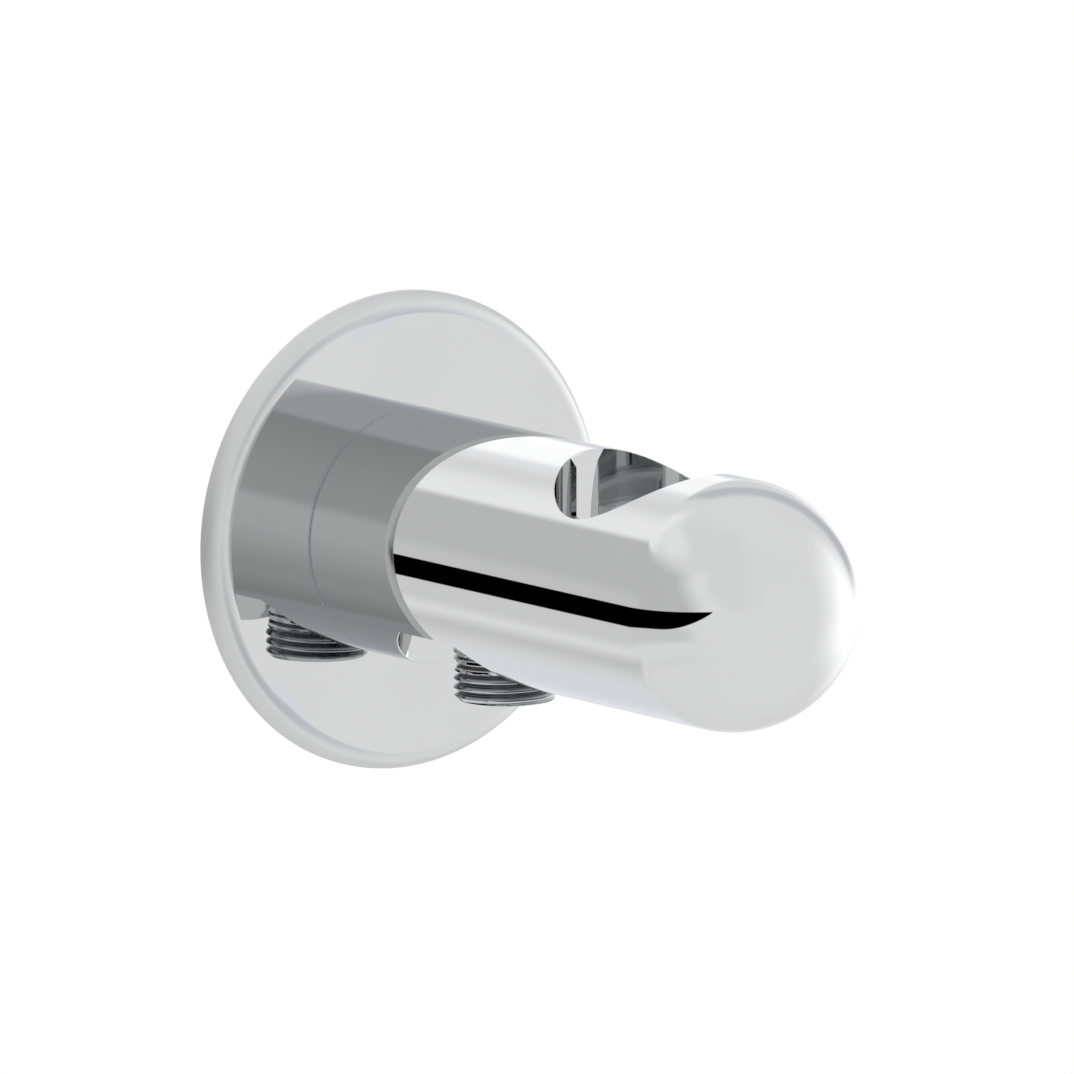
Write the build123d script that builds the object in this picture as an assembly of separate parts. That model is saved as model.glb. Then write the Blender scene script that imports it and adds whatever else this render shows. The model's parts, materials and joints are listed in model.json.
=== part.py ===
from build123d import *
import math
import os

# Sizes are in millimetres. "out" counts from the wall plane, "drop" counts down from the body's axis.

# Half-inch pipe thread, used by the wall inlet and by the hose outlet
thread_diameter = 20.955
thread_chamfer = 1.0

# Body: a round bar with a full-round nose, and a spigot behind it that carries the flange
body_diameter = 50.0
body_reach = 137.5
spigot_diameter = 42.0
spigot_setback = 0.6
seam_chamfer = 0.2
channel_diameter = 11.0

# Wall flange with a soft front edge, hollow behind
flange_diameter = 96.2
flange_thickness = 4.9
flange_edge_round = 4.15
flange_hub_width = 7.0
flange_rim_width = 5.0
flange_recess_depth = 2.6
flange_clearance = 0.15
gasket_width = 4.5
gasket_clearance = 0.2

# Wall nipple: thread into the wall, hexagon to turn it, smooth spigot with two ring grooves
wall_thread_length = 16.0
hex_flats = 24.0
hex_out = 1.0
hex_length = 5.0
hex_clearance = 0.5
nipple_spigot_diameter = 19.0
nipple_spigot_length = 18.0
nipple_spigot_chamfer = 0.8
spigot_clearance = 0.1
socket_end_gap = 0.5
ring_groove_depth = 1.5
ring_groove_width = 2.4
ring_inset = 3.6
ring_spacing = 4.2
ring_count = 2
ring_squeeze = 0.02

# Grub screw below the body, with its tip in a groove of the wall nipple
grub_out = 10.5
grub_diameter = 6.0
grub_recess = 4.5
grub_tip_diameter = 3.0
grub_socket_flats = 3.0
grub_socket_depth = 3.0
lock_groove_depth = 1.0
lock_groove_clearance = 0.2
tip_gap = 0.02
thread_clearance = 0.05

# Hose outlet: a pocket under the body with the outlet nipple standing in its middle
outlet_out = 37.0
outlet_drop = 29.1
pocket_diameter = 42.8
pocket_drop = 15.0
pocket_edge_round = 0.25
shank_step = 0.5
shank_length = 6.3
nipple_seal_thickness = 1.2
nipple_seal_width = 3.6
outlet_bore_diameter = 11.0
outlet_lip = 5.6

# Non-return valve inside the outlet nipple
chamber_diameter = 15.0
valve_clearance = 0.15
valve_end_gap = 0.3
valve_wall = 0.9
valve_inlet_diameter = 8.4
valve_seat_depth = 3.0
valve_seat_width = 1.2
valve_ring_groove_depth = 1.1
valve_ring_groove_width = 1.7
valve_foot_height = 1.3
valve_hub_diameter = 7.2
valve_rib_width = 1.4
valve_rib_count = 3
poppet_diameter = 10.2
poppet_band = 1.2
poppet_nose = 1.0
poppet_gap = 0.1
stem_diameter = 3.0
stem_clearance = 0.08
stem_overrun = 1.2
spring_diameter = 5.4
spring_wire = 0.6
spring_turns = 4.5
spring_gap = 0.05

# Handset cradle: a chrome mouth with a floor, open to one side for the hose, around a plastic liner with a
# conical seat. The share is the part of the bar's free length that lies between the pocket and the cradle.
cradle_share = 0.546
cradle_diameter = 38.8
cradle_drop = 12.5
cradle_edge_round = 0.12
cradle_corner_round = 1.2
slot_width = 16.5
liner_rise = 8.0
liner_flange_height = 2.0
liner_wall = 2.0
liner_clearance = 0.15
liner_slot_width = 17.0
seat_top_diameter = 25.6
seat_bottom_diameter = 22.4
seat_mouth_round = 1.5

# Derived sizes
body_radius = body_diameter / 2
spigot_radius = spigot_diameter / 2
channel_radius = channel_diameter / 2
thread_radius = thread_diameter / 2
nipple_spigot_radius = nipple_spigot_diameter / 2
socket_radius = nipple_spigot_radius + spigot_clearance
spigot_out = hex_out + hex_length
nipple_end_out = spigot_out + nipple_spigot_length
ring_outs = [nipple_end_out - ring_inset - count * ring_spacing for count in range(ring_count)]
shank_radius = thread_radius - shank_step
shank_top = -pocket_drop + shank_length
chamber_radius = chamber_diameter / 2
valve_radius = chamber_radius - valve_clearance
valve_foot = -outlet_drop + outlet_lip
valve_top = shank_top - valve_end_gap
seat_top = valve_top - valve_seat_depth
cradle_radius = cradle_diameter / 2
nose_out = body_reach - body_radius
pocket_end_out = outlet_out + pocket_diameter / 2
free_length = nose_out - cradle_diameter - pocket_end_out
cradle_out = pocket_end_out + cradle_share * free_length + cradle_radius
beyond = body_diameter

# Frames: the first looks out from the wall, the others stand upright over the outlet and the cradle
wall_frame = Plane(origin=(0, 0, 0), x_dir=(1, 0, 0), z_dir=(0, -1, 0))
outlet_frame = Plane(origin=(0, -outlet_out, 0), x_dir=(1, 0, 0), z_dir=(0, 0, 1))
cradle_frame = Plane(origin=(0, -cradle_out, 0), x_dir=(1, 0, 0), z_dir=(0, 0, 1))
grub_frame = Plane(origin=(0, -grub_out, 0), x_dir=(1, 0, 0), z_dir=(0, 0, 1))


def turned(outline):
    """Solid of revolution about Z of a closed outline drawn as radius and height."""
    return revolve(Plane.XZ * make_face(outline), Axis.Z)


def turned_corners(*corners):
    """Solid of revolution about Z of a polygon of radius and height corners."""
    return turned(Polyline(*corners, close=True))


def rod(radius, low, high):
    """Upright cylinder between two heights."""
    return Pos(0, 0, low) * extrude(Circle(radius), high - low)


def hexagon(flats, low, high):
    """Upright hexagonal bar between two heights."""
    return Pos(0, 0, low) * extrude(RegularPolygon(flats / 2, 6, major_radius=False), high - low)


def side_slot(radius, width):
    """Outline of a round hole with a straight slot to the +X side."""
    return Circle(radius) + Pos(beyond / 2, 0) * Rectangle(beyond, width)


def keyhole(radius, width, low, high, corner):
    """Round hole with a straight slot to the +X side, its inner corners rounded."""
    shape = side_slot(radius, width)
    corners = shape.vertices().filter_by(lambda v: v.X < radius)
    return Pos(0, 0, low) * extrude(fillet(corners, corner), high - low)


def squeezed_ring(inner, outer):
    """O-ring squeezed between two radii."""
    section = (outer - inner) / 2 - ring_squeeze
    return Torus((outer + inner) / 2, section)


def bar_blank():
    """Rear spigot, round bar and full-round nose, turned in one piece."""
    sides = Polyline((0, spigot_setback), (spigot_radius, spigot_setback), (spigot_radius, flange_thickness),
                     (body_radius - seam_chamfer, flange_thickness),
                     (body_radius, flange_thickness + seam_chamfer), (body_radius, nose_out))
    nose = CenterArc((0, nose_out), body_radius, 0, 90)
    axis = Line((0, body_reach), (0, spigot_setback))
    return wall_frame * (Rot(Z=180) * turned(sides + nose + axis))


def waterway():
    """Two crossing bores from the wall socket to the outlet, and the recess for the nipple's hexagon."""
    hex_radius = hex_flats / math.sqrt(3) + hex_clearance
    recess = rod(hex_radius, 0, spigot_out + hex_clearance)
    socket = rod(socket_radius, 0, nipple_end_out + socket_end_gap)
    run = rod(channel_radius, nipple_end_out, outlet_out + channel_radius)
    fall = rod(channel_radius, -pocket_drop, 0)
    nipple_hole = rod(shank_radius + thread_clearance, -pocket_drop, shank_top + nipple_seal_thickness)
    return wall_frame * (recess + socket + run) + outlet_frame * (fall + nipple_hole)


def skin_rim(body, out):
    """Edges where the cut nearest to a distance from the wall breaks through the bar's round skin."""
    skin = body.faces().filter_by(GeomType.CYLINDER).sort_by(SortBy.AREA)[-1]
    rim = min(skin.inner_wires(), key=lambda wire: abs(wire.bounding_box().center().Y + out))
    return rim.edges()


def make_body():
    """Chromed casting: bar, nut pocket, cradle, waterway and the grub screw's hole."""
    body = bar_blank()
    body -= outlet_frame * rod(pocket_diameter / 2, -beyond, -pocket_drop)
    body -= cradle_frame * keyhole(cradle_radius, slot_width, -cradle_drop, beyond, cradle_corner_round)
    body -= cradle_frame * extrude(side_slot(slot_width / 2, slot_width), -beyond)
    body = fillet(skin_rim(body, cradle_out), cradle_edge_round)
    body = fillet(skin_rim(body, outlet_out), pocket_edge_round)
    body -= waterway()
    body -= grub_frame * rod(grub_diameter / 2 + thread_clearance, -beyond, -channel_radius)
    return body


def make_wall_flange():
    """Cover plate with a rounded front edge and a recess behind."""
    radius = flange_diameter / 2
    bore = spigot_radius + flange_clearance
    hub = bore + flange_hub_width
    rim = radius - flange_rim_width
    edge_out = flange_thickness - flange_edge_round
    back = Polyline((radius - flange_edge_round, flange_thickness), (bore, flange_thickness), (bore, 0), (hub, 0),
                    (hub, flange_recess_depth), (rim, flange_recess_depth), (rim, 0), (radius, 0),
                    (radius, edge_out))
    edge = CenterArc((radius - flange_edge_round, edge_out), flange_edge_round, 0, 90)
    return wall_frame * turned(back + edge)


def make_flange_gasket():
    """Flat ring in the flange's recess, against its rim."""
    outer = flange_diameter / 2 - flange_rim_width - gasket_clearance
    inner = outer - gasket_width
    return wall_frame * (rod(outer, 0, flange_recess_depth) - rod(inner, 0, flange_recess_depth))


def groove(radius, depth, width, middle):
    """Ring cut into the outside of a round piece."""
    low, high = middle - width / 2, middle + width / 2
    return rod(radius + depth, low, high) - rod(radius - depth, low, high)


def make_wall_nipple():
    """Connector that screws into the wall and carries the body on its spigot."""
    tip = nipple_spigot_radius - nipple_spigot_chamfer
    blank = turned_corners((0, -wall_thread_length), (thread_radius - thread_chamfer, -wall_thread_length),
                           (thread_radius, thread_chamfer - wall_thread_length), (thread_radius, hex_out),
                           (nipple_spigot_radius, hex_out),
                           (nipple_spigot_radius, nipple_end_out - nipple_spigot_chamfer),
                           (tip, nipple_end_out), (0, nipple_end_out))
    blank += hexagon(hex_flats, hex_out, spigot_out)
    for out in ring_outs:
        blank -= groove(nipple_spigot_radius, ring_groove_depth, ring_groove_width, out)
    lock_groove_width = grub_diameter + 2 * lock_groove_clearance
    blank -= groove(nipple_spigot_radius, lock_groove_depth, lock_groove_width, grub_out)
    blank -= rod(channel_radius, -wall_thread_length, nipple_end_out)
    return wall_frame * blank


def make_spigot_o_rings():
    """Two rings squeezed between the nipple's grooves and the body's socket."""
    ring = squeezed_ring(nipple_spigot_radius - ring_groove_depth, socket_radius)
    return Compound(children=[wall_frame * (Pos(0, 0, out) * ring) for out in ring_outs])


def make_grub_screw():
    """Set screw with a flat-ended cone tip and a hexagon socket."""
    radius = grub_diameter / 2
    tip = grub_tip_diameter / 2
    top = lock_groove_depth - nipple_spigot_radius - tip_gap
    low = grub_recess - body_radius
    screw = turned_corners((0, low), (radius, low), (radius, top - radius + tip), (tip, top), (0, top))
    screw -= hexagon(grub_socket_flats, low, low + grub_socket_depth)
    return grub_frame * screw


def make_outlet_nipple():
    """Male hose connection that screws up into the body and holds the non-return valve."""
    blank = turned_corners((0, -outlet_drop), (thread_radius - thread_chamfer, -outlet_drop),
                           (thread_radius, thread_chamfer - outlet_drop), (thread_radius, -pocket_drop),
                           (shank_radius, -pocket_drop), (shank_radius, shank_top), (0, shank_top))
    blank -= rod(chamber_radius, valve_foot, shank_top)
    blank -= rod(outlet_bore_diameter / 2, -outlet_drop, valve_foot)
    return outlet_frame * blank


def make_nipple_seal():
    """Flat ring between the nipple's top and the body."""
    top = shank_top + nipple_seal_thickness
    return outlet_frame * (rod(shank_radius, shank_top, top) - rod(shank_radius - nipple_seal_width, shank_top, top))


def make_valve_housing():
    """Cartridge with a conical seat above and a spider foot that guides the stem."""
    inlet = valve_inlet_diameter / 2
    bore = valve_radius - valve_wall
    foot_top = valve_foot + valve_foot_height
    blank = turned_corners((inlet, valve_top), (valve_radius, valve_top), (valve_radius, valve_foot),
                           (bore, valve_foot), (bore, seat_top - valve_seat_width),
                           (inlet + valve_seat_width, seat_top - valve_seat_width), (inlet, seat_top))
    blank -= groove(valve_radius, valve_ring_groove_depth, valve_ring_groove_width,
                    valve_top - valve_seat_depth / 2)
    hub = rod(valve_hub_diameter / 2, valve_foot, foot_top)
    rib = Pos(bore / 2, 0, (valve_foot + foot_top) / 2) * Box(bore + valve_wall, valve_rib_width, valve_foot_height)
    for count in range(valve_rib_count):
        hub += Rot(Z=count * 360 / valve_rib_count) * rib
    hub -= rod(stem_diameter / 2 + stem_clearance, valve_foot, foot_top)
    return outlet_frame * (blank + hub)


def make_valve_o_ring():
    """Ring that seals the cartridge in the nipple."""
    ring = squeezed_ring(valve_radius - valve_ring_groove_depth, chamber_radius)
    return outlet_frame * (Pos(0, 0, valve_top - valve_seat_depth / 2) * ring)


def poppet_floor():
    """Height of the poppet's underside, where its spring pushes."""
    reach = poppet_diameter / 2 - valve_inlet_diameter / 2
    return seat_top - reach - poppet_gap - poppet_band


def make_valve_poppet():
    """Cone-faced plug on a stem that lies just under the seat when shut."""
    radius = poppet_diameter / 2
    stem = stem_diameter / 2
    nose = valve_inlet_diameter / 2 - poppet_gap - poppet_nose
    cone_low = poppet_floor() + poppet_band
    cone_high = cone_low + radius - nose
    foot = valve_foot - stem_overrun
    return outlet_frame * turned_corners((0, foot), (stem, foot), (stem, poppet_floor()), (radius, poppet_floor()),
                                         (radius, cone_low), (nose, cone_high), (0, cone_high))


def make_valve_spring():
    """Coil between the spider foot and the poppet."""
    wire = spring_wire / 2
    low = valve_foot + valve_foot_height + wire + spring_gap
    high = poppet_floor() - wire - spring_gap
    path = Helix((high - low) / spring_turns, high - low, (spring_diameter - spring_wire) / 2)
    start = Plane(path @ 0, z_dir=path % 0)
    return outlet_frame * (Pos(0, 0, low) * sweep(start * Circle(wire), path, is_frenet=True))


def make_holder_insert():
    """Plastic liner on the cradle's floor: a conical seat between two flanges, open to the slot's side."""
    rim = cradle_radius - liner_clearance
    mouth = seat_top_diameter / 2
    foot = seat_bottom_diameter / 2
    collar_low = liner_rise - liner_flange_height
    foot_high = liner_flange_height - cradle_drop
    liner = turned_corners((mouth, liner_rise), (rim, liner_rise), (rim, collar_low), (mouth + liner_wall, collar_low),
                           (foot + liner_wall, foot_high), (rim, foot_high), (rim, -cradle_drop), (foot, -cradle_drop))
    edge = liner.edges().filter_by(GeomType.CIRCLE).group_by(Axis.Z)[-1].sort_by(SortBy.RADIUS)[0]
    liner = fillet(edge, seat_mouth_round)
    liner -= Pos(beyond / 2, 0, 0) * Box(beyond, liner_slot_width, beyond)
    return cradle_frame * liner


nodes = {
    "body": make_body,
    "wall_flange": make_wall_flange,
    "flange_gasket": make_flange_gasket,
    "wall_nipple": make_wall_nipple,
    "spigot_o_rings": make_spigot_o_rings,
    "grub_screw": make_grub_screw,
    "outlet_nipple": make_outlet_nipple,
    "nipple_seal": make_nipple_seal,
    "valve_housing": make_valve_housing,
    "valve_o_ring": make_valve_o_ring,
    "valve_poppet": make_valve_poppet,
    "valve_spring": make_valve_spring,
    "holder_insert": make_holder_insert,
}

os.makedirs("parts", exist_ok=True)
for name, make in nodes.items():
    export_step(make(), f"parts/{name}.step")
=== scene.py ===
import bmesh
import bpy
import json
import math
from mathutils import Matrix, Vector


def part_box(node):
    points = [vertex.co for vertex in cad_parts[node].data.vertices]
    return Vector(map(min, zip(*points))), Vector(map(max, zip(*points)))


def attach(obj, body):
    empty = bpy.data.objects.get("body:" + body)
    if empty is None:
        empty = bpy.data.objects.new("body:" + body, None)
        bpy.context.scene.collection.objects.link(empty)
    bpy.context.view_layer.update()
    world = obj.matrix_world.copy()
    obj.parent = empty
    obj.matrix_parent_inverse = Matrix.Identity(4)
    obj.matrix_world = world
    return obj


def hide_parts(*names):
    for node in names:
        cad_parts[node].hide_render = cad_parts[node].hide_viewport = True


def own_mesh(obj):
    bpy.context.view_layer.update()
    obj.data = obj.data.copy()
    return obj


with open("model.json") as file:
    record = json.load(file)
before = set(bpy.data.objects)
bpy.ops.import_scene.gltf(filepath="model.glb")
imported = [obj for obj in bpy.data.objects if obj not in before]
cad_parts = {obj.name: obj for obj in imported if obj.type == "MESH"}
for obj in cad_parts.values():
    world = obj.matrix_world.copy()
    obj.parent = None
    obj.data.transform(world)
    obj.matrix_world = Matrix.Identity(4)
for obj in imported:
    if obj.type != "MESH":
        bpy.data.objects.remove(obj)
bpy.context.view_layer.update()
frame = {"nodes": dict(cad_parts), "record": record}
nodes = frame["nodes"]
MM = 0.001
WHITE = (1.0, 1.0, 1.0)


# Node helpers

class Graph:
    """Short names for the nodes used again and again in one node tree."""

    def __init__(self, tree):
        self.tree = tree

    def add(self, kind, **settings):
        node = self.tree.nodes.new(kind)
        for key, value in settings.items():
            setattr(node, key, value)
        return node

    def feed(self, socket, value):
        """A link or a plain value into a socket."""
        if isinstance(value, bpy.types.NodeSocket):
            self.tree.links.new(value, socket)
        else:
            socket.default_value = value

    def math(self, operation, *values):
        node = self.add("ShaderNodeMath", operation=operation)
        for socket, value in zip(node.inputs, values):
            self.feed(socket, value)
        return node.outputs[0]

    def product(self, first, *others):
        for other in others:
            first = self.math("MULTIPLY", first, other)
        return first

    def reach(self, across, along):
        """Length of the two sides put together."""
        return self.math("SQRT", self.math("MULTIPLY_ADD", across, across, self.math("MULTIPLY", along, along)))

    def ramp(self, value, low, high, to_low=0.0, to_high=1.0):
        """Smooth step from one value to another."""
        node = self.add("ShaderNodeMapRange", interpolation_type="SMOOTHSTEP")
        for name, number in (("Value", value), ("From Min", low), ("From Max", high),
                             ("To Min", to_low), ("To Max", to_high)):
            self.feed(node.inputs[name], number)
        return node.outputs[0]

    def toward(self, base, value, mask):
        """Base where the mask is 0, value where it is 1."""
        change = self.math("SUBTRACT", value, base)
        return self.math("MULTIPLY_ADD", change, mask, base)

    def tint(self, mask, first, second):
        """First colour where the mask is 0, second where it is 1."""
        node = self.add("ShaderNodeMix", data_type="RGBA")
        self.feed(node.inputs["Factor"], mask)
        for socket, value in ((node.inputs[6], first), (node.inputs[7], second)):
            self.feed(socket, (*value, 1) if isinstance(value, tuple) else value)
        return node.outputs[2]

    def blend(self, mask, first, second):
        """First shader where the mask is 0, second where it is 1."""
        node = self.add("ShaderNodeMixShader")
        for socket, value in zip(node.inputs, (mask, first, second)):
            self.feed(socket, value)
        return node.outputs[0]

    def place(self, axis):
        """One coordinate of the point, in the frame."""
        node = self.add("ShaderNodeSeparateXYZ")
        self.feed(node.inputs[0], self.add("ShaderNodeTexCoord").outputs["Object"])
        return node.outputs[axis]

    def off_axis(self, first, second, shift=0.0):
        """Distance from a line: the reach in two coordinates, with the second shifted."""
        return self.reach(self.place(first), self.math("SUBTRACT", self.place(second), shift))

    def noise(self, scale, detail=2.0):
        node = self.add("ShaderNodeTexNoise")
        self.feed(node.inputs["Vector"], self.add("ShaderNodeTexCoord").outputs["Object"])
        node.inputs["Scale"].default_value = scale
        node.inputs["Detail"].default_value = detail
        return node.outputs["Fac"]


# Materials

METAL_EDGE = (0.8, 0.8, 0.8, 1)
GLOSS_GRAIN, GLOSS_FROM, GLOSS_TO = 1.7, 0.3, 0.7
BUMP_GRAIN, BUMP_DETAIL, BUMP_DEPTH = 12, 4.0, 0.1 * MM


def finish_of(name, dark, light, grain, rough, metallic=1.0, bump=0.0):
    """Plain finish whose colour and gloss wander a little over the surface."""
    material = bpy.data.materials.new(name)
    material.use_nodes = True
    graph = Graph(material.node_tree)
    shader = material.node_tree.nodes["Principled BSDF"]
    shader.inputs["Metallic"].default_value = metallic
    if metallic:
        shader.inputs["Specular Tint"].default_value = METAL_EDGE
    graph.feed(shader.inputs["Base Color"], graph.tint(graph.noise(grain), dark, light))
    graph.feed(shader.inputs["Roughness"],
               graph.ramp(graph.noise(grain * GLOSS_GRAIN), GLOSS_FROM, GLOSS_TO, *rough))
    if bump:
        node = graph.add("ShaderNodeBump")
        node.inputs["Strength"].default_value = bump
        node.inputs["Distance"].default_value = BUMP_DEPTH
        graph.feed(node.inputs["Height"], graph.noise(grain * BUMP_GRAIN, BUMP_DETAIL))
        graph.feed(shader.inputs["Normal"], node.outputs["Normal"])
    return material


def mixed_in(material, name, value, mask_of):
    """Another value of one shader input where a mask says so."""
    graph = Graph(material.node_tree)
    socket = material.node_tree.nodes["Principled BSDF"].inputs[name]
    before = socket.links[0].from_socket
    if isinstance(value, tuple):
        graph.feed(socket, graph.tint(mask_of(graph), before, value))
    else:
        graph.feed(socket, graph.toward(before, value, mask_of(graph)))


def behind(depth, soft):
    """Mask of what lies behind a depth, with a soft edge."""
    return lambda graph: graph.ramp(graph.place(1), depth, depth + soft)


def outside(radius, soft):
    """Mask of what lies outside a radius about the bar's axis, with a soft edge."""
    return lambda graph: graph.ramp(graph.off_axis(0, 2), radius, radius + soft)


# Chrome plate of the body: mirror bright, with painted shade as a darker line before its seam and a dull, pale
# chamfer behind it
PLATE_FINISH = {"dark": (0.568, 0.569, 0.572), "light": (0.592, 0.593, 0.596), "grain": 40, "rough": (0.012, 0.03)}
SEAM, SEAM_SOFT, SEAM_ROUGH = -5.2 * MM, 0.1 * MM, 0.5
# Painted shade: the tone and place of the darker line before the seam, where the body meets the flange
SEAM_SHADE_START, SEAM_SHADE_SOFT = SEAM - 0.4 * MM, 0.3 * MM
SEAM_SHADE_TONE, CHAMFER_TONE = (0.44, 0.443, 0.452), (0.67, 0.67, 0.68)
chrome = finish_of("chrome", **PLATE_FINISH)
mixed_in(chrome, "Roughness", SEAM_ROUGH, behind(SEAM, SEAM_SOFT))
# Painted shade: the base colour darkened in a line just before the seam
mixed_in(chrome, "Base Color", SEAM_SHADE_TONE, behind(SEAM_SHADE_START, SEAM_SHADE_SOFT))
mixed_in(chrome, "Base Color", CHAMFER_TONE, behind(SEAM, SEAM_SOFT))

# The flange's, which gets duller in two steps over its rounded edge
DULL_RADIUS, DULL_STEP, DULL_SOFT, DULL_ROUGH = 44.1 * MM, 2.0 * MM, 0.8 * MM, (0.32, 0.52)
flange_chrome = finish_of("flange_chrome", **PLATE_FINISH)
for step, rough in enumerate(DULL_ROUGH):
    mixed_in(flange_chrome, "Roughness", rough, outside(DULL_RADIUS + step * DULL_STEP, DULL_SOFT))

# The outlet nipple's, with painted shade that darkens the roots of the thread
SOCKET_Y = -37 * MM
# Painted shade: the dark tone put in the thread's roots
ROOT_SHADE_TONE = (0.17, 0.172, 0.175)
CREST, ROOT = 9.95 * MM, 9.35 * MM
BORE_SIDE, BORE_SOFT = 8 * MM, 0.4 * MM
ROOTS_TOP, ROOTS_TOP_SOFT = -19.6 * MM, 0.4 * MM
ROOTS_END, ROOTS_END_SOFT = -28.1 * MM, 0.3 * MM


def shaded_thread_roots(graph):
    """Mask of the painted shade in the thread's roots, without the bore, the collar and the end."""
    around = graph.off_axis(0, 1, SOCKET_Y)
    level = graph.place(2)
    return graph.product(graph.ramp(around, CREST, ROOT), graph.ramp(around, BORE_SIDE, BORE_SIDE + BORE_SOFT),
                         graph.ramp(level, ROOTS_TOP, ROOTS_TOP - ROOTS_TOP_SOFT),
                         graph.ramp(level, ROOTS_END - ROOTS_END_SOFT, ROOTS_END))


nipple_chrome = finish_of("nipple_chrome", dark=(0.46, 0.465, 0.47), light=(0.52, 0.523, 0.53),
                          grain=60, rough=(0.02, 0.045))
# Painted shade: the roots of the thread darkened in the base colour
mixed_in(nipple_chrome, "Base Color", ROOT_SHADE_TONE, shaded_thread_roots)

# Plain finishes
brass = finish_of("brass", dark=(0.60, 0.43, 0.19), light=(0.70, 0.52, 0.25), grain=90, rough=(0.2, 0.34))
steel = finish_of("steel", dark=(0.42, 0.42, 0.43), light=(0.52, 0.52, 0.53), grain=200, rough=(0.24, 0.36))
foam_rubber = finish_of("foam_rubber", dark=(0.028, 0.028, 0.03), light=(0.05, 0.05, 0.052),
                        grain=260, rough=(0.8, 0.95), metallic=0.0, bump=0.6)
seal_rubber = finish_of("seal_rubber", dark=(0.012, 0.012, 0.013), light=(0.022, 0.022, 0.023),
                        grain=180, rough=(0.45, 0.6), metallic=0.0, bump=0.15)
valve_plastic = finish_of("valve_plastic", dark=(0.70, 0.70, 0.68), light=(0.78, 0.78, 0.76),
                          grain=150, rough=(0.38, 0.5), metallic=0.0, bump=0.1)
poppet_plastic = finish_of("poppet_plastic", dark=(0.06, 0.16, 0.38), light=(0.09, 0.21, 0.46),
                           grain=150, rough=(0.35, 0.48), metallic=0.0, bump=0.1)
liner_plastic = finish_of("liner_plastic", dark=(0.60, 0.605, 0.61), light=(0.66, 0.665, 0.67),
                          grain=150, rough=(0.16, 0.24), metallic=0.0, bump=0.03)


def dress(obj, material):
    obj.data.materials.clear()
    obj.data.materials.append(material)


for node_name, finish in {
    "flange_gasket": foam_rubber, "spigot_o_rings": seal_rubber, "grub_screw": steel, "nipple_seal": seal_rubber,
    "valve_housing": valve_plastic, "valve_o_ring": seal_rubber, "valve_poppet": poppet_plastic,
    "holder_insert": liner_plastic,
}.items():
    dress(nodes[node_name], finish)


# Mesh helpers

def mesh_of(bm, name):
    """Mesh from what was built."""
    mesh = bpy.data.meshes.new(name)
    bm.to_mesh(mesh)
    bm.free()
    return mesh


def smoothed(mesh, sharp):
    """Smooth shading, but for edges that turn by more than an angle."""
    mesh.polygons.foreach_set("use_smooth", [True] * len(mesh.polygons))
    mesh.set_sharp_from_angle(angle=math.radians(sharp))


def shown(mesh):
    """Object in the scene, with its mesh's name."""
    obj = bpy.data.objects.new(mesh.name, mesh)
    bpy.context.scene.collection.objects.link(obj)
    return obj


# Body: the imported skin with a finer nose, and normals that are true on its mirror faces

lowest, highest = (Vector(corner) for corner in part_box("body"))
BAR = (highest.x - lowest.x) / 2
NOSE = Vector((0, lowest.y + BAR, 0))
MOUTH, POCKET = 19.4 * MM, 21.4 * MM
NEAR, ALIKE, WELD, BODY_SHARP = 0.03 * MM, 0.94, 1e-6, 25


def mount_at(name):
    return Vector(next(mount["pos_m"] for mount in frame["record"]["mounts"] if mount["name"] == name))


CRADLE, OUTLET = mount_at("handset_cradle"), mount_at("hose_outlet")


def true_normal(point, facing, packed):
    """Exact normal on the bar, the nose, the cradle's mouth or the pocket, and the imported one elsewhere."""
    mouth = (Vector((point.x, point.y - CRADLE.y, 0)), MOUTH, -1)
    if point.y > NOSE.y:
        pocket = (Vector((point.x, point.y - OUTLET.y, 0)), POCKET, -1)
        faces = [(Vector((point.x, 0, point.z)), BAR, 1), mouth, pocket]
    else:
        faces = [(point - NOSE, BAR, 1), mouth]
    for reach, radius, side in faces:
        exact = reach.normalized() * side
        if abs(reach.length - radius) < NEAR and exact.dot(facing) > ALIKE:
            return exact
    return packed


def on_nose(vert, near):
    return vert.co.y < NOSE.y + NEAR and abs((vert.co - NOSE).length - BAR) < near


bm = bmesh.new()
bm.from_mesh(nodes["body"].data)
bmesh.ops.remove_doubles(bm, verts=bm.verts, dist=WELD)
nose_faces = [face for face in bm.faces if all(on_nose(vert, NEAR) for vert in face.verts)]
nose_edges = list({edge for face in nose_faces for edge in face.edges})
bmesh.ops.subdivide_edges(bm, edges=nose_edges, cuts=1, use_grid_fill=True)
for vert in bm.verts:
    if on_nose(vert, 2 * NEAR):
        vert.co = NOSE + (vert.co - NOSE).normalized() * BAR
skin = mesh_of(bm, "body_polished")
smoothed(skin, BODY_SHARP)
normals = [Vector(corner.vector) for corner in skin.corner_normals]
for face in skin.polygons:
    for index in face.loop_indices:
        point = skin.vertices[skin.loops[index].vertex_index].co
        normals[index] = true_normal(point, face.normal, normals[index])
skin.normals_split_custom_set(normals)
polished = shown(skin)
dress(polished, chrome)
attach(polished, "fitting")
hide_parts("body")


# Turned pieces, in millimetres

COLUMNS, ROWS_A_TURN = 160, 16
SPARE_TURNS, LEAD_IN = 3, 1.5
TURNED_WELD, TURNED_SHARP = 1e-4, 32
PITCH, DEPTH, THREAD_RADIUS, END_CHAMFER = 1.814, 1.162, 20.955 / 2, 1.0
OUT_OF_WALL = Matrix(((1, 0, 0, 0), (0, 0, -1, 0), (0, 1, 0, 0), (0, 0, 0, 1)))


def clipped(value, low=0.0, high=1.0):
    return max(low, min(high, value))


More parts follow.
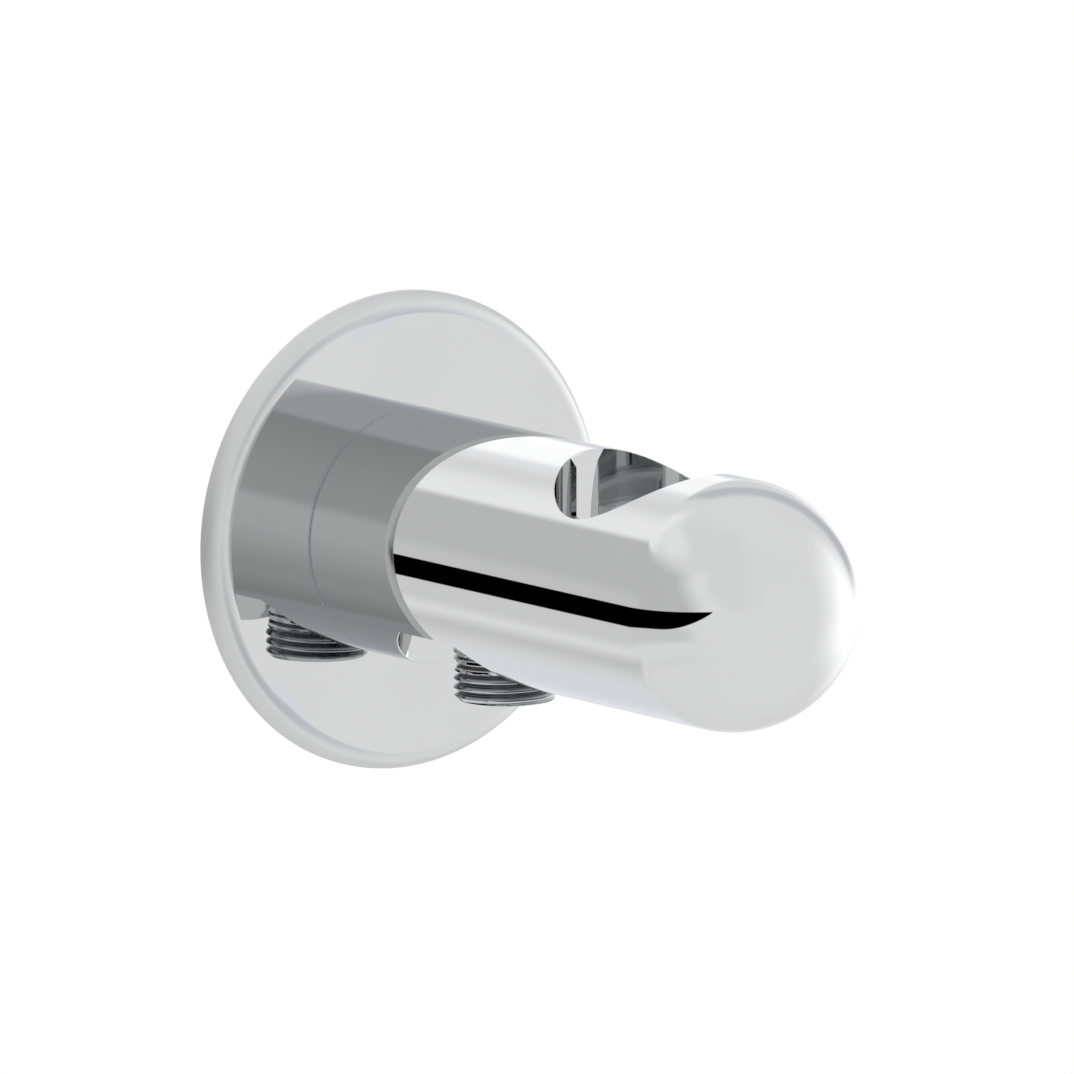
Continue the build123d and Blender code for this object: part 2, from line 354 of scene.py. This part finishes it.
def lathe(bm, corners):
    """Skin turned about the axis from radius and height corners, first to last."""
    rings = []
    for radius, height in corners:
        rings.append([bm.verts.new((radius * math.cos(step * math.tau / COLUMNS),
                                    radius * math.sin(step * math.tau / COLUMNS), height))
                      for step in range(COLUMNS)])
    for low, high in zip(rings, rings[1:]):
        for step in range(COLUMNS):
            after = (step + 1) % COLUMNS
            bm.faces.new((low[step], low[after], high[after], high[step]))


def threaded(bm, low, high, crest, root, phase=0.0):
    """Right-hand thread between two heights, within the crest and root limits given for each height."""
    turns = math.ceil((high - low) / PITCH) + SPARE_TURNS
    start = low - LEAD_IN * PITCH + phase
    grid = []
    for step in range(COLUMNS + 1):
        angle = step * math.tau / COLUMNS
        column = []
        for row in range(turns * ROWS_A_TURN + 1):
            height = start + PITCH * (row / ROWS_A_TURN + step / COLUMNS)
            valley = 0.5 - 0.5 * math.cos(row / ROWS_A_TURN * math.tau)
            height = clipped(height, low, high)
            radius = clipped(THREAD_RADIUS - DEPTH * valley, root(height), crest(height))
            column.append(bm.verts.new((radius * math.cos(angle), radius * math.sin(angle), height)))
        grid.append(column)
    for left, right in zip(grid, grid[1:]):
        for row in range(len(left) - 1):
            bm.faces.new((left[row], right[row], right[row + 1], left[row + 1]))


def made(bm, name, place, material, body, node):
    """Object from a mesh in millimetres that stands for a CAD node."""
    bmesh.ops.remove_doubles(bm, verts=bm.verts, dist=TURNED_WELD)
    bmesh.ops.dissolve_degenerate(bm, edges=bm.edges, dist=TURNED_WELD)
    bmesh.ops.recalc_face_normals(bm, faces=bm.faces)
    bm.transform(place @ Matrix.Scale(MM, 4))
    mesh = mesh_of(bm, name)
    smoothed(mesh, TURNED_SHARP)
    obj = shown(mesh)
    dress(obj, material)
    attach(obj, body)
    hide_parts(node)


# Wall flange: a plate with a rounded front edge, hollow behind
RIM, PLATE, EDGE_ROUND, EDGE_STEPS, KEEP_FLAT = 48.1, 4.9, 4.15, 16, 0.05
FLANGE_BORE, HOLLOW_IN, HOLLOW_OUT, HOLLOW = 21.15, 28.15, 43.1, 2.6
round_radius, round_height = RIM - EDGE_ROUND, PLATE - EDGE_ROUND
plate = [(FLANGE_BORE, PLATE), (FLANGE_BORE + KEEP_FLAT, PLATE), (round_radius - KEEP_FLAT, PLATE)]
for step in range(EDGE_STEPS + 1):
    angle = math.pi / 2 * (1 - step / EDGE_STEPS)
    plate.append((round_radius + EDGE_ROUND * math.cos(angle), round_height + EDGE_ROUND * math.sin(angle)))
plate += [(RIM, KEEP_FLAT), (RIM, 0), (HOLLOW_OUT, 0), (HOLLOW_OUT, HOLLOW), (HOLLOW_IN, HOLLOW), (HOLLOW_IN, 0),
          (FLANGE_BORE, 0), (FLANGE_BORE, PLATE)]
bm = bmesh.new()
lathe(bm, plate)
made(bm, "wall_flange_turned", OUT_OF_WALL, flange_chrome, "fitting", "wall_flange")


# Outlet nipple: collar, run-out, thread and chamfered end, over the chamber of the valve
THREAD_LOW, THREAD_HIGH, THREAD_PHASE = -29.1, -19.8, 0.8
RELIEF, RELIEF_FROM, RELIEF_LONG = 0.55, -23.4, 0.5
RUN_OUT, RUN_OUT_FROM, RUN_OUT_LONG = 0.95, -20.5, 0.7
COLLAR_EDGE = ((THREAD_RADIUS - 0.15, -19.65), (THREAD_RADIUS, -19.45))
COLLAR_TOP, SCREW_TOP, SCREW_RADIUS = -15.0, -8.7, 9.9775
CHAMBER_RADIUS, CHAMBER_FLOOR = 7.5, -23.5
WATER_BORE, OUTLET_EASE = 5.5, 0.2


def outlet_crest(height):
    chamfer = clipped(THREAD_LOW + END_CHAMFER - height, 0.0, END_CHAMFER)
    relief = RELIEF * clipped((height - RELIEF_FROM) / RELIEF_LONG)
    return THREAD_RADIUS - max(chamfer, relief)


def outlet_root(height):
    run_out = RUN_OUT * clipped((height - RUN_OUT_FROM) / RUN_OUT_LONG)
    return min(THREAD_RADIUS - DEPTH + run_out, outlet_crest(height))


bm = bmesh.new()
threaded(bm, THREAD_LOW, THREAD_HIGH, outlet_crest, outlet_root, THREAD_PHASE)
lathe(bm, [(outlet_crest(THREAD_HIGH), THREAD_HIGH), *COLLAR_EDGE, (THREAD_RADIUS, COLLAR_TOP),
           (SCREW_RADIUS, COLLAR_TOP), (SCREW_RADIUS, SCREW_TOP), (CHAMBER_RADIUS, SCREW_TOP),
           (CHAMBER_RADIUS, CHAMBER_FLOOR), (WATER_BORE, CHAMBER_FLOOR), (WATER_BORE, THREAD_LOW + OUTLET_EASE),
           (WATER_BORE + OUTLET_EASE, THREAD_LOW), (THREAD_RADIUS - END_CHAMFER, THREAD_LOW)])
made(bm, "outlet_nipple_threaded", Matrix.Translation((0, SOCKET_Y, 0)), nipple_chrome,
     "fitting", "outlet_nipple")


# Wall nipple: thread behind the wall plane, hexagon, and spigot with its lock groove and ring grooves
INLET_LOW, INLET_EASE, FADE_FROM, FADE_LONG = -16.0, 0.4, -1.6, 1.4
HEX_BACK, HEX_THICK, HEX_FLATS = 1.0, 5.0, 24
SPIGOT, SPIGOT_END, SPIGOT_CHAMFER = 9.5, 24.0, 0.8
LOCK_RADIUS, LOCK_BACK, LOCK_FRONT = 8.5, 7.3, 13.7
RING_RADIUS, RING_PLACES, RING_HALF = 8.0, (16.2, 20.4), 1.2


def inlet_crest(height):
    return THREAD_RADIUS - clipped(INLET_LOW + END_CHAMFER - height, 0.0, END_CHAMFER)


def inlet_root(height):
    fade = DEPTH * clipped((height - FADE_FROM) / FADE_LONG)
    return min(THREAD_RADIUS - DEPTH + fade, inlet_crest(height))


bm = bmesh.new()
threaded(bm, INLET_LOW, 0.0, inlet_crest, inlet_root)
spigot = [(THREAD_RADIUS, 0.0), (THREAD_RADIUS, HEX_BACK), (SPIGOT, HEX_BACK), (SPIGOT, LOCK_BACK),
          (LOCK_RADIUS, LOCK_BACK), (LOCK_RADIUS, LOCK_FRONT), (SPIGOT, LOCK_FRONT)]
for ring in RING_PLACES:
    spigot += [(SPIGOT, ring - RING_HALF), (RING_RADIUS, ring - RING_HALF),
               (RING_RADIUS, ring + RING_HALF), (SPIGOT, ring + RING_HALF)]
spigot += [(SPIGOT, SPIGOT_END - SPIGOT_CHAMFER), (SPIGOT - SPIGOT_CHAMFER, SPIGOT_END), (WATER_BORE, SPIGOT_END),
           (WATER_BORE, INLET_LOW + INLET_EASE), (WATER_BORE + INLET_EASE, INLET_LOW),
           (THREAD_RADIUS - END_CHAMFER, INLET_LOW)]
lathe(bm, spigot)
bmesh.ops.create_cone(bm, cap_ends=True, segments=6, radius1=HEX_FLATS / math.sqrt(3),
                      radius2=HEX_FLATS / math.sqrt(3), depth=HEX_THICK,
                      matrix=Matrix.Translation((0, 0, HEX_BACK + HEX_THICK / 2)))
made(bm, "wall_nipple_threaded", OUT_OF_WALL, brass, "fitting", "wall_nipple")


# Spring of the non-return valve, which in the real valve shortens as the poppet opens; here a plain copy of the
# CAD spring on a mesh of its own

spring = bpy.data.objects.new("valve_spring_coil", nodes["valve_spring"].data.copy())
bpy.context.scene.collection.objects.link(spring)
dress(spring, steel)
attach(spring, "fitting")
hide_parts("valve_spring")
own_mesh(spring)


# Studio: light by direction, in shares of the level straight ahead

LEVEL = 1.15
LAVENDER = (0.975, 0.98, 1.05)
world = bpy.data.worlds.new("studio")
bpy.context.scene.world = world
world.use_nodes = True
world.node_tree.nodes.clear()
sky = Graph(world.node_tree)
axes = sky.add("ShaderNodeSeparateXYZ")
sky.feed(axes.inputs[0], sky.add("ShaderNodeTexCoord").outputs["Generated"])
east, north, up = axes.outputs
# Turn to the left of straight ahead and height, both in degrees
turn = sky.math("DEGREES", sky.math("ARCTAN2", sky.math("MULTIPLY", east, -1.0),
                                    sky.math("MULTIPLY", north, -1.0)))
height = sky.math("DEGREES", sky.math("ARCSINE", up))
measures = {"east": east, "north": north, "up": up, "turn": turn, "height": height}


def area(**limits):
    """Soft mask of directions: each two limits of a measure are an edge, 0 at the first and 1 at the second."""
    edges = []
    for measure, values in limits.items():
        for start, end in zip(values[::2], values[1::2]):
            edges.append(sky.ramp(measures[measure], start, end))
    return sky.product(*edges)


def oval(middle_turn, middle_height, wide, tall):
    """How far a direction is from the middle of an oval, in shares of the oval's reach."""
    return sky.reach(sky.math("DIVIDE", sky.math("SUBTRACT", turn, middle_turn), wide),
                     sky.math("DIVIDE", sky.math("SUBTRACT", height, middle_height), tall))


# Softly dimmer above on the left
ABOVE_LEFT = 0.95
light = sky.toward(1.0, ABOVE_LEFT, area(turn=(0, 35, 178, 120), height=(2, 10, 88, 70)))

# Bright side on the right, lower towards the back
BRIGHT_SIDE = 1.68
measures["upper"] = sky.math("ADD", height, sky.ramp(turn, -82, -106, 0, 18))
measures["lower"] = sky.math("SUBTRACT", height, sky.ramp(turn, -112, -145, 0, 27))
light = sky.toward(light, BRIGHT_SIDE, area(turn=(-42, -98, -175, -150), upper=(41, 0), lower=(-42, -14)))

# Bright wall behind on the right, and a bluish floor under it
BRIGHT_WALL, GROUND = 1.75, 1.06
light = sky.toward(light, BRIGHT_WALL, area(north=(0.76, 0.82), up=(0.64, 0.5, -0.16, -0.06), east=(0.05, 0.2)))
ground = area(north=(0.74, 0.8), up=(-0.06, -0.18), east=(-0.1, 0.05))
light = sky.toward(light, GROUND, ground)

# Lavender band round the bright wall
BAND = 0.76
measures["far"] = oval(middle_turn=-152, middle_height=8, wide=38, tall=36)
band = area(far=(0.70, 0.92, 1.40, 1.10), turn=(-172, -158), height=(-8, 5))
light = sky.toward(light, BAND, band)

# Lavender spot low behind on the right, which edges the bar
SPOT = 0.86
spot = sky.ramp(oval(middle_turn=-145, middle_height=-6, wide=12, tall=20), 1.0, 0.5)
light = sky.toward(light, SPOT, spot)

# Pale ceiling behind
CEILING = 1.18
light = sky.toward(light, CEILING, area(north=(0.45, 0.7), up=(0.42, 0.52), turn=(120, 160, 182, 165)))

# Paler patch above the panel
ABOVE_PANEL = 1.07
above = sky.ramp(oval(middle_turn=126, middle_height=47, wide=40, tall=13), 1.0, 0.4)
light = sky.toward(light, ABOVE_PANEL, above)

# Grey panel on the left with a leaning, soft front edge, a pale strip beside it and a paler foot behind
PANEL, PANEL_FOOT, PANEL_STRIP = 0.695, 0.08, 1.03
PANEL_FRONT, PANEL_LEAN, LEAN_TOP = 56.0, 0.8, 25.0
TOP_END, TOP_END_RISE, TOP_START, TOP_START_FALL = 31.5, 7.0, 28.5, -3.0
lean = sky.math("MULTIPLY_ADD", sky.math("MINIMUM", height, LEAN_TOP), PANEL_LEAN, PANEL_FRONT)
measures["past"] = sky.math("SUBTRACT", turn, lean)
light = sky.toward(light, PANEL_STRIP, area(past=(-20, -8, 6, -4), height=(0, 6, 44, 32)))
forward = sky.ramp(turn, 155, 120)
top_edge = sky.ramp(height, sky.math("MULTIPLY_ADD", forward, TOP_END_RISE, TOP_END),
                    sky.math("MULTIPLY_ADD", forward, TOP_START_FALL, TOP_START))
panel = sky.product(area(past=(0, 24), height=(-5, -4), turn=(172, 160)), top_edge)
foot = area(height=(8, 0), turn=(120, 145))
light = sky.toward(light, sky.math("MULTIPLY_ADD", foot, PANEL_FOOT, PANEL), panel)

# Streaks low on the left: waves at the back, two soft troughs further forward
WAVE, WAVE_SIZE, WAVE_RATE, WAVE_SHIFT = 0.91, 0.11, 0.571, 15.7
wave = sky.math("COSINE", sky.math("MULTIPLY_ADD", height, WAVE_RATE, WAVE_SHIFT))
light = sky.toward(light, sky.math("MULTIPLY_ADD", wave, WAVE_SIZE, WAVE),
                   area(turn=(142, 158, 182, 172), height=(-46, -38, -6, -10)))
for trough, heights in ((0.82, (-28, -21, -10, -15)), (0.95, (-48, -42, -33, -39))):
    light = sky.toward(light, trough, area(turn=(62, 88, 158, 142), height=heights))

# Black strip that tapers towards the front
STRIP_TOP, STRIP_FALL, STRIP_FOOT = 7.24, -0.0786, -14.8
TAPER_FROM, TAPER_POWER, TAPER = 110.0, 2.3, 0.00164
strip_top = sky.math("MULTIPLY_ADD", turn, STRIP_FALL, STRIP_TOP)
gap = sky.math("MAXIMUM", sky.math("SUBTRACT", TAPER_FROM, turn), 0.0)
strip_foot = sky.math("MULTIPLY_ADD", sky.math("POWER", gap, TAPER_POWER), TAPER, STRIP_FOOT)
measures["over_top"] = sky.math("SUBTRACT", height, strip_top)
measures["over_foot"] = sky.math("SUBTRACT", height, strip_foot)
light = sky.toward(light, 0.0, area(over_top=(0.25, -0.25), over_foot=(-0.3, 0.3), turn=(53, 56, 172, 165)))

# The camera itself sees white
studio = sky.add("ShaderNodeBackground")
blue = sky.math("MAXIMUM", sky.math("MAXIMUM", band, spot), ground)
sky.feed(studio.inputs["Color"], sky.tint(blue, WHITE, LAVENDER))
sky.feed(studio.inputs["Strength"], sky.math("MULTIPLY", light, LEVEL))
white = sky.add("ShaderNodeBackground")
sky.feed(white.inputs["Color"], (*WHITE, 1.0))
to_camera = sky.add("ShaderNodeLightPath").outputs["Is Camera Ray"]
sky.feed(sky.add("ShaderNodeOutputWorld").inputs["Surface"],
         sky.blend(to_camera, studio.outputs[0], white.outputs[0]))


# Stage

def one_sided(name, shader_of):
    """Material that shows a shader on the front of a face and is open from behind."""
    material = bpy.data.materials.new(name)
    material.use_nodes = True
    material.node_tree.nodes.clear()
    graph = Graph(material.node_tree)
    clear = graph.add("ShaderNodeBsdfTransparent")
    facing = graph.add("ShaderNodeNewGeometry")
    graph.feed(graph.add("ShaderNodeOutputMaterial").inputs["Surface"],
               graph.blend(facing.outputs["Backfacing"], shader_of(graph), clear.outputs[0]))
    return material


def glow(graph, strength, colour=(*WHITE, 1.0)):
    node = graph.add("ShaderNodeEmission")
    graph.feed(node.inputs["Strength"], strength)
    graph.feed(node.inputs["Color"], colour)
    return node.outputs[0]


# Pale floor far below, white to the camera and open from beneath
FLOOR_SIDES, FLOOR_RADIUS, FLOOR_PLACE, FLOOR_GRAIN = 96, 0.75, (0, -0.06, -0.7), 3.0
FLOOR_TONES = ((0.86, 0.86, 0.86), (0.88, 0.88, 0.88))


def floor_shader(graph):
    """Diffuse for the light, white for the camera and at the plain level for mirrors."""
    pale = graph.add("ShaderNodeBsdfDiffuse")
    graph.feed(pale.inputs["Color"], graph.tint(graph.noise(FLOOR_GRAIN), *FLOOR_TONES))
    path = graph.add("ShaderNodeLightPath").outputs
    seen = graph.math("MAXIMUM", path["Is Camera Ray"],
                      graph.math("MAXIMUM", path["Is Glossy Ray"], path["Is Transmission Ray"]))
    strength = graph.math("ADD", 1.0, graph.math("MULTIPLY", path["Is Glossy Ray"], LEVEL - 1.0))
    return graph.blend(seen, pale.outputs[0], glow(graph, strength))


bpy.ops.mesh.primitive_circle_add(vertices=FLOOR_SIDES, radius=FLOOR_RADIUS, fill_type="NGON",
                                  location=FLOOR_PLACE)
floor = bpy.context.object
floor.name = "floor"
dress(floor, one_sided("floor", floor_shader))


def mirrored_card(bm, name, shader_of):
    """Card that the camera doesn't see, only mirrors do, and only from its front."""
    card = shown(mesh_of(bm, name))
    dress(card, one_sided(name, shader_of))
    card.visible_camera = False


# Grey card in front of the flange: a wide cone with a gap on the right, whose front is on the wall's side
CARD_IN, CARD_OUT, CARD_IN_Y, CARD_OUT_Y = 62 * MM, 140 * MM, -106 * MM, -117 * MM
CARD_FIRST, CARD_LAST, CARD_STEPS = 18, 310, 60
CARD_SOFT, CARD_SOFT_TURN = 10 * MM, 14
CARD_TINT, CARD_TOP_TINT, CARD_COOL_TINT = (0.98, 1.0, 0.995), (0.985, 1.025, 1.065), (0.98, 0.99, 1.06)


def card_shader(graph):
    """Tones round the card from the top right over the left to the bottom right, in degrees."""
    round_it = graph.math("FLOORED_MODULO", graph.math("DEGREES", graph.math("ARCTAN2", graph.place(2),
                                                                             graph.place(0))), 360.0)
    reach = graph.off_axis(0, 2)
    tone = graph.ramp(round_it, 92, 156, 0.57, 0.69)
    for level, start, end in ((0.77, 91, 84), (0.90, 156, 167), (0.63, 176, 224), (0.52, 224, 243)):
        tone = graph.toward(tone, level, graph.ramp(round_it, start, end))
    tone = graph.toward(tone, graph.ramp(round_it, 250, 296, 0.60, 0.76), graph.ramp(round_it, 246, 250))
    inside = graph.product(graph.ramp(round_it, CARD_FIRST, CARD_FIRST + CARD_SOFT_TURN),
                           graph.ramp(round_it, CARD_LAST, CARD_LAST - CARD_SOFT_TURN),
                           graph.ramp(reach, CARD_IN, CARD_IN + CARD_SOFT),
                           graph.ramp(reach, CARD_OUT, CARD_OUT - CARD_SOFT))
    tone = graph.toward(1.0, tone, inside)
    top = graph.tint(graph.ramp(round_it, 91, 84), CARD_TINT, CARD_TOP_TINT)
    cool = graph.math("ADD", graph.ramp(round_it, 50, 32), graph.ramp(round_it, 246, 252))
    return glow(graph, graph.math("MULTIPLY", tone, LEVEL), graph.tint(cool, top, CARD_COOL_TINT))


bm = bmesh.new()
rings = []
for radius, depth in ((CARD_IN, CARD_IN_Y), (CARD_OUT, CARD_OUT_Y)):
    ring = []
    for step in range(CARD_STEPS + 1):
        angle = math.radians(CARD_FIRST + (CARD_LAST - CARD_FIRST) * step / CARD_STEPS)
        ring.append(bm.verts.new((radius * math.cos(angle), depth, radius * math.sin(angle))))
    rings.append(ring)
for step in range(CARD_STEPS):
    bm.faces.new((rings[0][step], rings[0][step + 1], rings[1][step + 1], rings[1][step]))
mirrored_card(bm, "card", card_shader)


# Small cards on the right, beside the cradle's slot and the pocket, whose fronts are towards the bar

def side_card(name, right, middle, half, low, high):
    """Upright card at the plain level."""
    first, last = middle - half, middle + half
    bm = bmesh.new()
    bm.faces.new([bm.verts.new((right, out, level))
                  for out, level in ((first, low), (first, high), (last, high), (last, low))])
    mirrored_card(bm, name, lambda graph: glow(graph, LEVEL))


side_card("slot_card", right=25.2 * MM, middle=CRADLE.y, half=9 * MM, low=-12 * MM, high=18.7 * MM)
side_card("pocket_card", right=21 * MM, middle=OUTLET.y, half=POCKET, low=-31 * MM, high=-14 * MM)


# Camera at the photograph's angle

AZIMUTH, ELEVATION, DISTANCE = math.radians(-35.72898), math.radians(9.44245), 5.2246
AIM_RIGHT, AIM_UP = 27.87 * MM, -1.645 * MM
SENSOR, LENS, CLIP_END = 36, 878.4, 60
back = Vector((math.sin(AZIMUTH) * math.cos(ELEVATION), -math.cos(AZIMUTH) * math.cos(ELEVATION),
               math.sin(ELEVATION)))
right = Vector((math.cos(AZIMUTH), math.sin(AZIMUTH), 0))
target = AIM_RIGHT * right + AIM_UP * back.cross(right)
camera = bpy.data.objects.new("camera", bpy.data.cameras.new("camera"))
bpy.context.scene.collection.objects.link(camera)
camera.data.sensor_width = SENSOR
camera.data.lens = LENS
camera.data.clip_end = CLIP_END
camera.location = back * DISTANCE
camera.rotation_mode = "QUATERNION"
camera.rotation_quaternion = (target - camera.location).to_track_quat("-Z", "Y")
bpy.context.scene.camera = camera
bpy.context.scene.view_settings.view_transform = "Standard"
